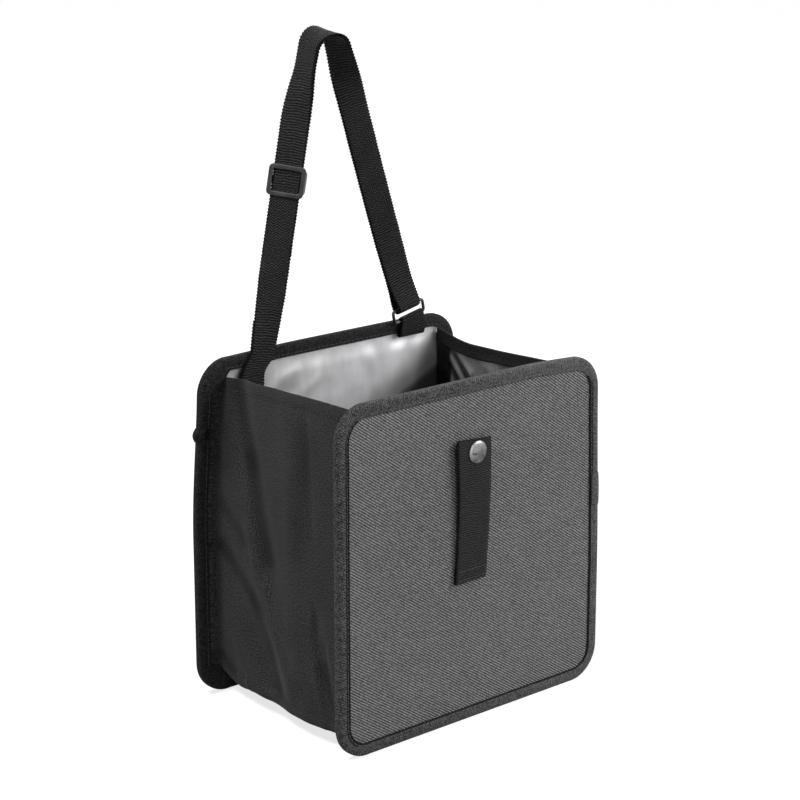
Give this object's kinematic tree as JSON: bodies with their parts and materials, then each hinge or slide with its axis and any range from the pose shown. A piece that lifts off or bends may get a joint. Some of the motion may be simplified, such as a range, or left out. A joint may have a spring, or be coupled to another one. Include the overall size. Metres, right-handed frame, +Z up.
{
  "type": "car trash can",
  "caption": "Soft box-shaped car bin: two stiff panels with taped edges, a cloth gusset, a webbing strap with slider and ring, and a snap tab.",
  "frame": {"origin": "bottom centre of the bin, midway between the two panels, on the surface that it stands on", "axes": "+X to the right along the panels, +Y to the rear panel that carries the strap, +Z up"},
  "size_m": [0.22, 0.155, 0.4238],
  "materials": {
    "twill": "grey twill cloth",
    "tape": "dark woven binding tape",
    "gusset": "black plain-weave cloth",
    "board": "plain stiff board",
    "film": "silver coated film, soft sheen",
    "webbing": "black woven webbing",
    "plastic": "black moulded, matte",
    "black_wire": "black coated wire",
    "nickel": "nickel plate"
  },
  "bodies": {
    "bin": {"front_face_cloth": "twill", "front_board": "board", "front_lining": "film", "front_binding": "tape", "back_face_cloth": "twill", "back_board": "board", "back_lining": "film", "back_binding": "tape", "gusset": "gusset", "gusset_lining": "film", "base_board": "board", "strap": "webbing", "ring_tab": "webbing", "snap_tab": "webbing", "snap_cap": "nickel", "snap_socket": "nickel", "snap_stud": "nickel", "snap_post": "nickel"},
    "slider": {"strap_slider": "plastic"},
    "ring": {"strap_ring": "black_wire"}
  },
  "joints": [
    {"name": "slider_slide", "type": "slide", "parent": "bin", "child": "slider", "axis": [0.1978, 0, 0.9802], "range_m": [-0.022, 0.022]},
    {"name": "ring_hinge", "type": "hinge", "parent": "bin", "child": "ring", "pos_m": [0.0671, 0.06475, 0.2252], "axis": [0.9781, 0, 0.2079], "range_deg": [-7, 7]}
  ]
}
